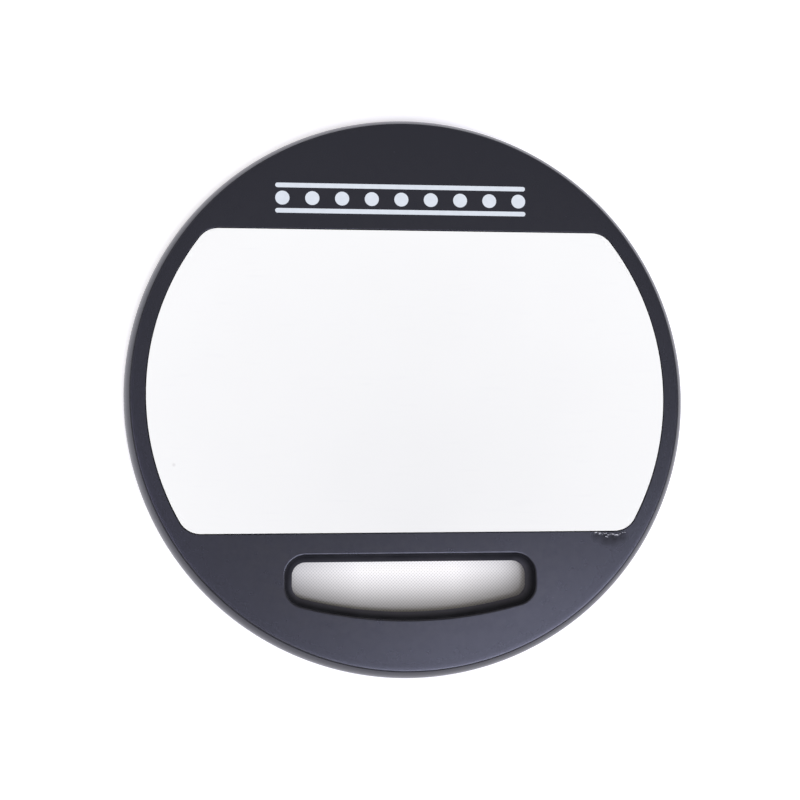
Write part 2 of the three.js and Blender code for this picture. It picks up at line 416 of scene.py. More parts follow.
def satin_plastic(name, colour, worn, roughness, smudge=()):
    """Moulded black plastic: a fine spark-eroded grain, faint handling marks, rubbed edges, and perhaps a
    smudge of glue, given as spots of (x, y, z, radius)."""
    g = Graph(name, colour, roughness, specular=SHEEN)
    g.shader.inputs["Specular Tint"].default_value = SHEEN_TINT
    grain = g.noise(0.22, detail=3, rough=0.6)
    mottle = g.noise(60, detail=3)
    hairlines = g.span(g.noise(1.6, detail=5, stretch=(14, 0.35, 1), rough=0.65), 0.7, 0.76)
    dust = g.span(g.cells(9), 0.024, 0.012)
    wear = g.math("MULTIPLY", g.attribute("wear"), g.span(g.noise(6, detail=4), 0.3, 0.62))
    tint = g.blend(g.span(mottle, 0.35, 0.65), colour, scaled(colour, 1.015))
    tint = g.blend(g.math("MULTIPLY", wear, 0.5), tint, worn)
    tint = g.blend(g.math("MULTIPLY", dust, 0.25), tint, DUST)
    sheen = g.span(mottle, 0.3, 0.7, roughness - 0.0015, roughness + 0.0015)
    sheen = g.math("ADD", sheen, g.math("MULTIPLY", hairlines, 0.02))
    sheen = g.math("SUBTRACT", sheen, g.math("MULTIPLY", wear, 0.04))
    sheen = g.math("SUBTRACT", sheen, g.math("MULTIPLY", g.attribute("polish"), 0.11))
    if smudge:
        mark = smear(g, smudge)
        tint = g.blend(g.math("MULTIPLY", mark, 0.9), tint, scaled(colour, 0.4))
        sheen = g.math("SUBTRACT", sheen, g.math("MULTIPLY", mark, 0.1))
    relief = g.bump(grain, 0.012)
    relief = g.bump(hairlines, 0.0006, relief)
    return g.finish(tint, sheen, relief)


def smear(g, spots):
    """How thick a smear is, from 0 to 1: spots run together, and broken up a little."""
    mark = g.near(*spots[0])
    for spot in spots[1:]:
        mark = g.math("MAXIMUM", mark, g.near(*spot))
    return g.math("MULTIPLY", g.span(mark, 0, 0.75), g.span(g.noise(7, detail=3), 0.3, 0.5, 0.6, 1))


# The slot's wall has painted bounce light, paler from this height down to the waist: fully from the second
# place on, towards its outer side and its right-hand end, and by the inner share before the first one
PAINTED_BOUNCE_TOP_Z = 17.0
PAINTED_BOUNCE_OUTER_Y = (-112, -128)
PAINTED_BOUNCE_RIGHT_X = (64, 73)
PAINTED_BOUNCE_INNER = 0.3


def dull_plastic():
    """The same plastic with the deep, dull texture of the slot's wall, and painted bounce light, paler
    towards its foot.
    """
    black = (0.009, 0.0093, 0.0125)
    # The colour of the painted bounce light on the wall's foot.
    pale = (0.12, 0.119, 0.142)
    g = Graph("dull_slot_wall", black, 0.85, specular=0.06)
    texture = g.noise(0.5, detail=4, rough=0.65)
    handled = g.noise(18, detail=3)
    tint = g.blend(g.span(handled, 0.35, 0.65), black, scaled(black, 1.5))
    # Painted bounce light: the wall is paler towards its foot, most on its outer side and its right-hand end.
    foot = g.along("Z", PAINTED_BOUNCE_TOP_Z, WAIST_Z, 0, 1)
    outer = g.along("Y", *PAINTED_BOUNCE_OUTER_Y, PAINTED_BOUNCE_INNER, 1)
    right = g.along("X", *PAINTED_BOUNCE_RIGHT_X, PAINTED_BOUNCE_INNER, 1)
    painted_bounce = g.math("MULTIPLY", g.math("POWER", foot, 1.3), g.math("MAXIMUM", outer, right))
    tint = g.blend(painted_bounce, tint, pale)
    gloss = g.span(handled, 0.3, 0.7, 0.9, 0.74)
    return g.finish(tint, gloss, g.bump(texture, 0.09))


# On the sheet: a painted shade that makes it greyer towards the middle of its lower edge, and a speck of
# dirt, each as (x, y, z, radius)
PAINTED_SHADE_AREA = (0, -85, sheet_high.z, 205)
SPECK = (-145.7, -45.5, sheet_high.z, 1.5)


def coated_film():
    """The white playing coat: a sprayed, slightly toothed film with faint brush marks, and painted shade that
    makes it a little greyer towards the middle of its lower edge."""
    white = (0.888, 0.903, 0.84)
    # The grey of the painted shade.
    worn = (0.804, 0.818, 0.766)
    rubbed = (0.55, 0.56, 0.6)
    dirt = (0.35, 0.33, 0.3)
    g = Graph("coated_film", white, 0.58, specular=0.35)
    tooth = g.noise(0.35, detail=4, rough=0.7)
    clouds = g.noise(55, detail=3)
    swirls = g.span(g.noise(2.4, detail=4, stretch=(9, 1, 1)), 0.6, 0.78)
    speck = g.near(*SPECK)
    # Painted shade: greyer towards the middle of the sheet's lower edge, with some cloudy tone.
    painted_shade_and_clouds = g.math("ADD", g.near(*PAINTED_SHADE_AREA), g.span(clouds, 0.3, 0.7, -0.06, 0.06))
    tint = g.blend(painted_shade_and_clouds, white, worn)
    tint = g.blend(g.math("MULTIPLY", swirls, 0.05), tint, rubbed)
    tint = g.blend(g.math("MULTIPLY", speck, 0.3), tint, dirt)
    gloss = g.span(tooth, 0.3, 0.7, 0.52, 0.66)
    return g.finish(tint, gloss, g.bump(tooth, 0.02))


def screen_ink():
    """Pale grey-blue screen print with the faint mesh texture that the screen leaves."""
    ink = (0.692, 0.75, 0.765)
    g = Graph("screen_ink", ink, 0.5)
    mesh_marks = g.cells(0.28)
    cover = g.noise(3.5, detail=4)
    tint = g.blend(g.span(cover, 0.35, 0.7), ink, scaled(ink, 0.93))
    gloss = g.span(cover, 0.3, 0.7, 0.42, 0.56)
    return g.finish(tint, gloss, g.bump(mesh_marks, 0.006))


def black_rubber():
    """Matt rubber, bloomed a little grey and rubbed where it stands."""
    black = (0.016, 0.016, 0.017)
    g = Graph("black_rubber", black, 0.85, specular=0.35)
    bloom = g.noise(9, detail=5)
    crumb = g.noise(0.4, detail=4, rough=0.7)
    tint = g.blend(g.span(bloom, 0.42, 0.72), black, (0.045, 0.044, 0.043))
    gloss = g.span(bloom, 0.3, 0.7, 0.78, 0.95)
    return g.finish(tint, gloss, g.bump(crumb, 0.03))


def zinc_plate():
    """Bright zinc plating, dulled in patches, on a formed screw."""
    zinc = (0.5, 0.5, 0.51)
    g = Graph("zinc_plate", zinc, 0.32, metallic=1.0)
    patches = g.noise(1.4, detail=5)
    marks = g.noise(0.15, detail=3, stretch=(1, 6, 1))
    tint = g.blend(g.span(patches, 0.4, 0.68), zinc, (0.34, 0.34, 0.33))
    gloss = g.span(patches, 0.3, 0.7, 0.25, 0.48)
    return g.finish(tint, gloss, g.bump(marks, 0.008))


def closed_cell_foam():
    """Dark foam with fine pores."""
    g = Graph("closed_cell_foam", (0.05, 0.05, 0.055), 0.95, specular=0.2)
    pores = g.cells(0.7)
    tint = g.blend(g.span(pores, 0.1, 0.45), (0.02, 0.02, 0.022), (0.06, 0.06, 0.065))
    return g.finish(tint, None, g.bump(pores, 0.15))


def hardboard():
    """Brown pressed fibre board."""
    g = Graph("hardboard", (0.28, 0.165, 0.085), 0.82, specular=0.3)
    fibres = g.noise(0.5, detail=6, stretch=(5, 1, 1), rough=0.7)
    patches = g.noise(14, detail=3)
    tint = g.blend(fibres, (0.2, 0.11, 0.055), (0.38, 0.24, 0.13))
    tint = g.blend(g.span(patches, 0.35, 0.7, 0, 0.5), tint, (0.24, 0.14, 0.075))
    return g.finish(tint, g.span(fibres, 0.3, 0.7, 0.72, 0.9), g.bump(fibres, 0.05))


def contact_adhesive():
    """A thin, slightly yellow glue film, thicker in some places than in others."""
    g = Graph("contact_adhesive", (0.78, 0.75, 0.64), 0.28)
    streaks = g.noise(4, detail=4, stretch=(3, 1, 1))
    tint = g.blend(g.span(streaks, 0.35, 0.65), (0.8, 0.77, 0.67), (0.66, 0.62, 0.5))
    return g.finish(tint, g.span(streaks, 0.3, 0.7, 0.2, 0.4), g.bump(streaks, 0.05))


def dried_glue():
    """Glue that was squeezed out and dried whitish."""
    g = Graph("dried_glue", (0.62, 0.63, 0.65), 0.35)
    cloud = g.noise(1.1, detail=4)
    tint = g.blend(g.span(cloud, 0.42, 0.6), (0.06, 0.06, 0.07), (0.58, 0.59, 0.63))
    return g.finish(tint, g.span(cloud, 0.3, 0.7, 0.25, 0.5), g.bump(cloud, 0.08))


# ---- pieces ----


def make_face_plate(materials):
    """The flat plate: a rounded rim, a window for the playing surface and an opening for the slot."""
    shell = Shell()
    window_level = GAP + WINDOW_EDGE
    crown, rounding = rim_profile()
    face_edge = shell.sweep(plate_circle, crown)
    rim = shell.sweep(plate_circle, rounding, wear=1)
    shell.walls(face_edge[-1], rim[0])
    side_top = rounding[-1][1] - RIM_EASE
    side = shell.sweep(plate_circle, [(PLATE_RADIUS + RIM_EASE / 2, side_top), (PLATE_RADIUS, PLATE_UNDER_Z)])
    shell.walls(rim[-1], side[0])
    window_edge = quarter_round(window_level, FACE_Z, -WINDOW_EDGE, WINDOW_EDGE, 4)
    window = shell.sweep(play_outline, window_edge, wear=0.25)
    cut_top = window_edge[-1][1] - CUT_EASE
    cut = shell.sweep(play_outline, [(GAP, cut_top), (GAP, PLATE_UNDER_Z)], finish=1)
    shell.walls(window[-1], cut[0], finish=1)
    opening = shell.sweep(slot_outline, slot_rounding(), wear=1)
    heights = (SLOT_WALL_TOP_Z - SLOT_WALL_EASE, PLATE_UNDER_Z)
    wall = shell.sweep(slot_outline, [(slot_wall(z), z) for z in heights], finish=1)
    shell.walls(opening[-1], wall[0], finish=1)
    shell.flat(face_edge[0], window[0], opening[0])
    roots = [plate_boss(shell, *screw_place(node)) for node in SCREWS]
    shell.flat(side[-1], cut[-1], wall[-1], *roots)
    return shell.piece("face_plate_moulding", materials, ["face_plate"])


def rim_profile():
    """The crown, where the face falls a little towards the rim, and the rounded edge after it, each as
    (radius, z)."""
    drop = CROWN_WIDTH * math.tan(CROWN_SLOPE) / 2
    centre = PLATE_RADIUS - EDGE_RADIUS * math.cos(EDGE_ANGLE)
    rounding = arc(centre, EDGE_Z - drop, EDGE_RADIUS, QUARTER - CROWN_SLOPE, EDGE_ANGLE, 8)
    start = rounding[0][0] - CROWN_WIDTH
    steps = 5
    shares = [i / steps for i in range(steps)]
    crown = [(start + CROWN_WIDTH * share, FACE_Z - drop * share**2) for share in shares]
    return crown, rounding


def plate_circle(radius):
    """A circle of the plate, which lies a little off the body's centre, so the seam is wider by the slot."""
    return circle(radius, *PLATE_PLAY)


def slot_rounding():
    """The rounded edge from the face down into the slot's wall, as (margin, z)."""
    end = QUARTER - math.atan(SLOT_DRAFT)
    foot_z = FACE_Z - SLOT_EDGE * (1 - math.cos(end))
    level = slot_wall(foot_z) + SLOT_EDGE * math.sin(end)
    steps = 8
    turns = [end * i / steps for i in range(steps + 1)]
    return [(level - SLOT_EDGE * math.sin(t), FACE_Z - SLOT_EDGE * (1 - math.cos(t))) for t in turns]


def plate_boss(shell, x, y):
    """A boss under the plate, with the blind hole that a screw bites into. Returns the ring at its root."""
    hole = SHANK_RADIUS + GAP
    foot = BODY_BOSS_TOP_Z + GAP
    end = PLATE_UNDER_Z - BLIND_END
    steps = [(PLATE_BOSS_RADIUS, PLATE_UNDER_Z), (PLATE_BOSS_RADIUS, foot), (hole, foot), (hole, end)]
    rings = [shell.ring(circle(radius, x, y, SMALL), z) for radius, z in steps]
    shell.walls(*rings)
    shell.mesh.faces.new(rings[-1])
    return rings[0]


def foot_curve():
    """The centre's distance from the axis, and the radius, of the wall's curve from the waist to the foot."""
    drop = WAIST_Z - UNDERSIDE_Z
    tuck = BODY_RADIUS - FOOT_RADIUS
    radius = (drop**2 + tuck**2) / (2 * tuck)
    return BODY_RADIUS - radius, radius


def outside_profile():
    """The body's outside from the seam down to the foot, as (radius, z), with a ridge at the mould's parting.
    The wall's two curves stop a small angle short of the ridge."""
    seam_radius = PLATE_RADIUS + SEAM
    top = math.acos((seam_radius - SWELL_CENTRE) / SWELL_RADIUS)
    foot_centre, foot_radius = foot_curve()
    foot = math.asin((WAIST_Z - UNDERSIDE_Z) / foot_radius)
    above_ridge = 0.012
    below_ridge = -0.03
    upper = arc(SWELL_CENTRE, WAIST_Z, SWELL_RADIUS, top, above_ridge, 28)
    lower = arc(foot_centre, WAIST_Z, foot_radius, below_ridge, -foot, 16)
    return upper + [(BODY_RADIUS + PARTING_RIDGE, WAIST_Z)] + lower


def inside_profile():
    """The body's inside, from the plate's seat down to the floor, as (radius, z)."""
    radius = SWELL_RADIUS - WALL
    upper = arc(SWELL_CENTRE, WAIST_Z, radius, math.asin((SEAT_Z - WAIST_Z) / radius), 0, 10)
    foot_centre, foot_radius = foot_curve()
    inner = foot_radius - WALL
    lower = arc(foot_centre, WAIST_Z, inner, 0, -math.asin((WAIST_Z - FLOOR_TOP_Z) / inner), 5)
    return upper + lower[1:]


def make_body_tray(materials):
    """The tray: swelling wall, slot collar, floor with the ring's groove, screw bosses, pocket and ribs."""
    shell = Shell()
    skin = shell.sweep(circle, outside_profile(), polish=1)
    seat = shell.ring(circle(PLATE_RADIUS + SEAM), SEAT_Z)
    inner = shell.sweep(circle, inside_profile())
    shell.walls(skin[0], seat, inner[0])

    groove_top = RING_THICKNESS + GAP
    groove = [
        (RING_OUTER + GAP, UNDERSIDE_Z),
        (RING_OUTER + GAP, groove_top),
        (RING_INNER - GAP, groove_top),
        (RING_INNER - GAP, UNDERSIDE_Z),
    ]
    groove_rings = shell.sweep(circle, groove)

    collar_under, collar_root = slot_collar(shell)
    bored = {node: body_boss(shell, *screw_place(node)) for node in SCREWS}
    on_rim = [node for node in SCREWS if math.hypot(*screw_place(node)) > RING_OUTER]
    by_slot = [node for node in SCREWS if node not in on_rim]
    shell.flat(skin[-1], groove_rings[0], *[bored[node][0] for node in on_rim])
    marks = ejector_marks(shell)
    shell.flat(groove_rings[-1], collar_under, *[bored[node][0] for node in by_slot], *marks)
    shell.flat(inner[-1], collar_root, *[rings[1] for rings in bored.values()])

    pocket(shell)
    return shell.piece("body_moulding", materials, ["body_tray"])


def slot_collar(shell):
    """The slot's wall, from the underside up to the plate and down its outside to the tray's floor."""
    top = PLATE_UNDER_Z - SEAM
    foot = slot_wall(UNDERSIDE_Z + SLOT_FOOT_EDGE)
    edge = [
        (foot + SLOT_FOOT_EDGE, UNDERSIDE_Z),
        (foot + SLOT_FOOT_BEVEL, UNDERSIDE_Z + SLOT_FOOT_BEVEL),
        (foot, UNDERSIDE_Z + SLOT_FOOT_EDGE),
    ]
    steps = [WAIST_Z + SLOT_NOSE * step for step in NOSE_STEPS]
    outside = [(slot_wall(z) + WALL, z) for z in (top, WAIST_Z, FLOOR_TOP_Z)]
    rounded = shell.sweep(slot_outline, edge, wear=0.3)
    nose = shell.sweep(slot_outline, [(slot_wall(z), z) for z in steps], finish=1)
    upper = shell.ring(slot_outline(slot_wall(top)), top)
    shell.walls(rounded[-1], nose[0], finish=1)
    shell.walls(nose[-1], upper, finish=1)
    rings = shell.sweep(slot_outline, outside)
    shell.walls(upper, rings[0])
    return rounded[0], rings[-1]


def body_boss(shell, x, y):
    """A screw's counterbore, its clearance hole and the boss round it. Returns the rings at the underside and
    at the boss's root."""
    bore = HEAD_RADIUS + GAP
    hole = SHANK_RADIUS + GAP
    seat = HEAD_TOP_Z + GAP
    steps = [
        (bore + BORE_EASE, UNDERSIDE_Z),
        (bore, UNDERSIDE_Z + BORE_EASE),
        (bore, seat),
        (hole, seat),
        (hole, BODY_BOSS_TOP_Z),
        (BODY_BOSS_RADIUS, BODY_BOSS_TOP_Z),
        (BODY_BOSS_RADIUS, FLOOR_TOP_Z),
    ]
    rings = [shell.ring(circle(radius, x, y, SMALL), z) for radius, z in steps]
    shell.walls(*rings)
    return rings[0], rings[-1]


def ejector_marks(shell):
    """Shallow round marks that the mould's ejector pins leave in the underside, and its gate mark. Those that
    would lie in or near the slot are left out."""
    places = [(0, 0, GATE_RADIUS)]
    for radius, count in EJECTOR_RINGS:
        for i in range(count):
            angle = math.tau * i / count + QUARTER
            places.append((radius * math.cos(angle), radius * math.sin(angle), EJECTOR_RADIUS))
    rings = []
    for x, y, size in places:
        if y < SLOT_TOP_Y + 2 * size and abs(x) < SLOT_HALF_WIDTH + 2 * size:
            continue
        edge = shell.ring(circle(size, x, y, SMALL), UNDERSIDE_Z)
        floor = shell.ring(circle(size - MARK_DEPTH, x, y, SMALL), UNDERSIDE_Z + MARK_DEPTH)
        shell.walls(edge, floor)
        shell.mesh.faces.new(floor)
        rings.append(edge)
    return rings


def pocket(shell):
    """The wall round the playing surface's layers, and the grid of ribs that they lie on."""
    foot = FLOOR_TOP_Z - GAP
    inside = POCKET_CLEARANCE
    outside = POCKET_CLEARANCE + POCKET_WALL
    wall = shell.sweep(play_outline, [(inside, foot), (inside, SEAT_Z), (outside, SEAT_Z), (outside, foot)])
    shell.walls(wall[-1], wall[0])
    middle = (PLAY_TOP_Y + PLAY_BOTTOM_Y) / 2
    half = RIB_THICKNESS / 2
    for column in range(-2, 3):
        x = column * RIB_PITCH
        low = (x - half, PLAY_BOTTOM_Y - inside - half, foot)
        shell.bar(low, (x + half, PLAY_TOP_Y + inside + half, RIB_TOP_Z))
    for row in range(-1, 2):
        y = middle + row * RIB_PITCH
        reach = math.sqrt((PLAY_RADIUS + inside) ** 2 - y**2) + half
        shell.bar((-reach, y - half, foot), (reach, y + half, RIB_TOP_Z))


def make_layer(node, name, material, edge):
    """One of the layers of the playing surface, with its cut edges rounded off."""
    low, high = frame_box(node)
    margin = high.y - PLAY_TOP_Y - LAYER_TRIM
    over = quarter_round(margin - edge, high.z, edge, edge, 4)
    under = quarter_round(margin - edge, low.z, edge, -edge, 4)
    shell = Shell()
    rings = shell.sweep(play_outline, over + under[::-1])
    shell.flat(rings[0])
    shell.flat(rings[-1])
    return shell.piece(name, [material], [node])


def make_grip_ring(material):
    """The rubber ring: a flat strip with rounded edges and grooves in the face that it stands on."""
    shell = Shell()
    land = (RING_OUTER - RING_INNER - GROOVES * GROOVE_WIDTH) / (GROOVES + 1)
    profile = []
    for i in range(GROOVES):
        start = RING_INNER + (i + 1) * land + i * GROOVE_WIDTH
        end = start + GROOVE_WIDTH
        bottom = [(start + GROOVE_TAPER, GROOVE_DEPTH), (end - GROOVE_TAPER, GROOVE_DEPTH)]
        profile += [(start, 0), *bottom, (end, 0)]
    outer = quarter_round(RING_OUTER - RING_EDGE, RING_THICKNESS, RING_EDGE, RING_EDGE, 4)
    inner = quarter_round(RING_INNER + RING_EDGE, RING_THICKNESS, -RING_EDGE, RING_EDGE, 4)
    profile += [(r, RING_THICKNESS - z) for r, z in outer] + outer[::-1]
    profile += inner + [(r, RING_THICKNESS - z) for r, z in inner[::-1]]
    rings = shell.sweep(circle, profile)
    shell.walls(rings[-1], rings[0])
    return shell.piece("grip_ring_rubber", [material], ["grip_ring"])


# ---- screws ----

# A screw stands on its head, whose dome rises from the crown as it bends round. The thread fades in over its
# first steps and out over its last ones, and the point narrows towards a share of the shank's radius.
SCREW_TIP_Z = 15.4
HEAD_CROWN_Z = 1.8
HEAD_DOME = 0.75
HEAD_BEND = math.radians(50)
HEAD_EDGE = 0.15
THREAD_PITCH = 1.1
THREAD_DEPTH = 0.28
THREAD_CREST = 0.22
THREAD_STEPS = 96
THREAD_FADES_IN = 6
THREAD_FADES_OUT = 10
POINT_LENGTH = 2.6
POINT_BLUNT = 0.4
POINT_SHARE = 0.35

# The cross recess. Its cutter starts outside the head, and tapers from one share of its size to another.
RECESS_ARM = 0.42
RECESS_REACH = 1.65
RECESS_DEPTH = 1.0
CUTTER_START = 1.0
CUTTER_SHARES = (1.25, 0.45)


def screw_mesh(material):
    """A pan-head screw, standing on its head with its axis on Z: domed head, cross recess, spiral thread."""
    shell = Shell()
    bend = HEAD_RADIUS / math.sin(HEAD_BEND)
    head = []
    steps = 8
    for i in range(1, steps + 1):
        turn = HEAD_BEND * i / steps
        height = HEAD_DOME * (1 - math.cos(turn)) / (1 - math.cos(HEAD_BEND))
        head.append((bend * math.sin(turn), HEAD_CROWN_Z + height))
    head += [(HEAD_RADIUS, HEAD_TOP_Z - HEAD_EDGE), (HEAD_RADIUS - HEAD_EDGE, HEAD_TOP_Z)]
    rings = [shell.ring(circle(radius, count=SMALL), z) for radius, z in head]
    rings += thread_rings(shell)
    shell.walls(*rings)
    shell.mesh.faces.new(rings[0])
    tip = shell.mesh.verts.new((0, 0, SCREW_TIP_Z * MM))
    last = rings[-1]
    for i in range(len(last)):
        shell.mesh.faces.new((last[i - 1], last[i], tip))
    bmesh.ops.recalc_face_normals(shell.mesh, faces=shell.mesh.faces)
    data = bpy.data.meshes.new("pan_head_screw")
    shell.mesh.to_mesh(data)
    shell.mesh.free()
    cut_recess(data)
    data.materials.append(material)
    return data


def thread_rings(shell):
    """Rings up the shank whose radius swells where the thread's spiral passes."""
    core = SHANK_RADIUS - THREAD_DEPTH
    start = HEAD_TOP_Z
    rings = []
    for i in range(THREAD_STEPS + 1):
        z = start + (SCREW_TIP_Z - POINT_BLUNT - start) * i / THREAD_STEPS
        fade = min(1, i / THREAD_FADES_IN, (THREAD_STEPS - i) / THREAD_FADES_OUT)
        taper = min(1, POINT_SHARE + (SCREW_TIP_Z - z) / POINT_LENGTH)
        ring = []
        for j in range(SMALL):
            turn = math.tau * j / SMALL
            phase = ((z - start) / THREAD_PITCH - turn / math.tau) % 1
            crest = max(0, 1 - abs(phase - 0.5) / THREAD_CREST)
            radius = (core + THREAD_DEPTH * crest * fade) * taper
            ring.append((radius * math.cos(turn), radius * math.sin(turn)))
        rings.append(shell.ring(ring, z))
    return rings


def cut_recess(data):
    """Cuts a tapered cross into the crown of the screw's head."""
    cutter = Shell()
    levels = (HEAD_CROWN_Z - CUTTER_START, HEAD_CROWN_Z + RECESS_DEPTH)
    for along_x in (True, False):
        rings = []
        for z, share in zip(levels, CUTTER_SHARES):
            long, wide = RECESS_REACH * share, RECESS_ARM * (0.6 + 0.4 * share)
            x, y = (long, wide) if along_x else (wide, long)
            rings.append(cutter.ring([(-x, -y), (x, -y), (x, y), (-x, y)], z))
        cutter.walls(*rings)
        cutter.mesh.faces.new(rings[0])
        cutter.mesh.faces.new(rings[1])
    bmesh.ops.recalc_face_normals(cutter.mesh, faces=cutter.mesh.faces)
    tool_data = bpy.data.meshes.new("recess_tool")
    cutter.mesh.to_mesh(tool_data)
    cutter.mesh.free()
    tool = bpy.data.objects.new("recess_tool", tool_data)
    blank = bpy.data.objects.new("screw_blank", data)
    for obj in (tool, blank):
        bpy.context.scene.collection.objects.link(obj)
    cut = blank.modifiers.new("recess", "BOOLEAN")
    cut.object = tool
    cut.operation = "DIFFERENCE"
    cut.solver = "EXACT"
    cut.use_self = True
    bpy.context.view_layer.update()
    result = bmesh.new()
    result.from_object(blank, bpy.context.evaluated_depsgraph_get())
    shade_smooth(result)
    result.to_mesh(data)
    result.free()
    bpy.data.objects.remove(blank)
    bpy.data.objects.remove(tool)
    bpy.data.meshes.remove(tool_data)


def make_screws(material):
    """One screw mesh, set down at each screw's place with the cross at a chance angle."""
    data = screw_mesh(material)
    chance = random.Random(14)
    for node in SCREWS:
        x, y = screw_place(node)
        screw = bpy.data.objects.new(f"pan_head_{node}", data)
        screw.location = (x * MM, y * MM, 0)
        screw.rotation_euler.z = chance.uniform(0, QUARTER)
        settle(screw, [node])


# ---- print and marks ----

PRINT_CENTRE = (-4.0, 123.1)
PRINT_WIDTH = 160.0
PRINT_HEIGHT = 19.4
RULE_HEIGHT = 3.0
DOT_RADIUS = 4.5
DOTS = 9
INK_THICKNESS = 0.03


def make_print(material):
    """A plain printed border on the face: a row of dots between two rules with rounded ends."""
    shell = Shell()
    x0, y0 = PRINT_CENTRE
    end = RULE_HEIGHT / 2
    reach = PRINT_WIDTH / 2 - end
    for side in (-1, 1):
        y = y0 + side * (PRINT_HEIGHT / 2 - end)
        right = arc(x0 + reach, y, end, -QUARTER, QUARTER, CORNER)
        left = arc(x0 - reach, y, end, QUARTER, 3 * QUARTER, CORNER)
        ink_island(shell, right + left)
    pitch = (PRINT_WIDTH - 2 * DOT_RADIUS) / (DOTS - 1)
    for i in range(DOTS):
        x = x0 - PRINT_WIDTH / 2 + DOT_RADIUS + i * pitch
        ink_island(shell, circle(DOT_RADIUS, x, y0, SMALL))
    return shell.piece("face_print", [material])


def ink_island(shell, outline):
    """One patch of ink that lies on the face."""
    bottom = shell.ring(outline, FACE_Z - INK_THICKNESS / 2)
    top = shell.ring(outline, FACE_Z + INK_THICKNESS)
    shell.walls(bottom, top)
    shell.mesh.faces.new(bottom)
    shell.mesh.faces.new(top)


# Beads of dried glue along the sheet's lower edge: where they lie, how far they sag, how far each is sunk
# into the face, and how high it is for its width
GLUE_START_X = 116.5
GLUE_END_X = 135.0
GLUE_TOP_Y = PLAY_BOTTOM_Y - 2 * GAP - 0.2
GLUE_SAG = 3.0
GLUE_BEADS = 22
BEAD_SINK = 0.02
BEAD_RISE = 0.3
BEAD_MAX_WIDTH = 0.35


def make_glue_beads(material):
    """Small flattened beads of dried glue along the sheet's lower edge, near its right end."""
    shell = Shell()
    chance = random.Random(5)
    for i in range(GLUE_BEADS):
        share = (i + chance.uniform(-0.4, 0.4)) / (GLUE_BEADS - 1)
        x = GLUE_START_X + (GLUE_END_X - GLUE_START_X) * share
        sag = max(0, math.sin(math.pi * share)) * chance.uniform(0.1, 1) * GLUE_SAG
        glue_bead(shell, x, GLUE_TOP_Y - sag, chance)
    return shell.piece("dried_glue_beads", [material])


def glue_bead(shell, x, y, chance):
    """One bead: a low dome on a wavy outline."""
    length = chance.uniform(0.3, 1.2)
    width = min(BEAD_MAX_WIDTH, length * chance.uniform(0.2, 0.45))
    lean = chance.uniform(-0.5, 0.5)
    waves = [(k, chance.uniform(0, 0.16), chance.uniform(0, 6)) for k in (2, 3, 5)]
    count = 24
    levels = 6
    rings = []
    for level in range(levels):
        turn = QUARTER * level / levels
        ring = []
        for j in range(count):
            angle = math.tau * j / count
            swell = 1 + sum(size * math.sin(k * angle + start) for k, size, start in waves)
            along = length * swell * math.cos(turn) * math.cos(angle)
            across = width * swell * math.cos(turn) * math.sin(angle)
            ring.append((x + along - lean * across, y + across + 0.3 * lean * along))
        rings.append(shell.ring(ring, FACE_Z - BEAD_SINK + BEAD_RISE * width * math.sin(turn)))
    shell.walls(*rings)
    shell.mesh.faces.new(rings[0])
    shell.mesh.faces.new(rings[-1])


# ---- camera, floor and light ----

LENS_MM = 60.73
SENSOR_MM = 36
CAMERA_AT = Vector((-91.8, -99.3, FACE_Z + 835.2)) * MM
CAMERA_AIM = Vector((-6.1, -5.3, FACE_Z)) * MM
CAMERA_ROLL = math.radians(-0.55)


def add_camera():
    camera = bpy.data.cameras.new("camera")
    camera.lens = LENS_MM
    camera.sensor_width = SENSOR_MM
    camera.clip_start = 0.01
    obj = bpy.data.objects.new("camera", camera)
    bpy.context.scene.collection.objects.link(obj)
    forward = (CAMERA_AIM - CAMERA_AT).normalized()
    right = forward.cross(Vector((0, 1, 0))).normalized()
    up = right.cross(forward)
    level = Matrix((right, up, -forward)).transposed().to_quaternion()
    obj.location = CAMERA_AT
    obj.rotation_mode = "QUATERNION"
    obj.rotation_quaternion = level @ Quaternion((0, 0, 1), CAMERA_ROLL)
    bpy.context.scene.camera = obj


# Half the floor's width, in metres
FLOOR_SIZE = 12

# The floor's painted glow, light that it gives off round the pad though it is no lamp: its strength, its
# share by the slot, and the radii where it starts and is full. It is weaker in the top shade, a painted
# shadow given as a spot of (x, y, z, radius), out to the radius where the shade ends.
FLOOR_PAINTED_GLOW = 0.45
PAINTED_GLOW_BY_SLOT = 0.5
PAINTED_GLOW_STARTS = 152
PAINTED_GLOW_FULL = 175
TOP_SHADE = (20, 182, 0, 115)
TOP_SHADE_STARTS = 180
TOP_SHADE_ENDS = 205
TOP_SHADE_STRENGTH = 0.62

# The cloth under the pad: its weave's pitch, the width over which it ends, its painted glow, how bright it is
# between the threads, how bright its painted shade leaves it under the slot's ends and under its outer edge,
# and where that painted shade starts and ends
WEAVE = 2.1
CLOTH_EASE = 8
CLOTH_PAINTED_GLOW = 0.12
BETWEEN_THREADS = 0.74
PAINTED_SHADE_AT_SLOT_ENDS = 0.63
PAINTED_SHADE_AT_SLOT_OUTSIDE = 0.46
ENDS_DARKEN_X = (30, 80)
OUTSIDE_DARKENS_Y = (-112, -138)


def woven(g):
    """The cloth's weave: 1 on its threads and less between them."""
    threads = [g.math("COSINE", g.math("MULTIPLY", g.axis(a), math.tau / WEAVE / MM)) for a in ("X", "Y")]
    return g.span(g.math("MULTIPLY", threads[0], threads[1]), -1, 0.3, BETWEEN_THREADS, 1)


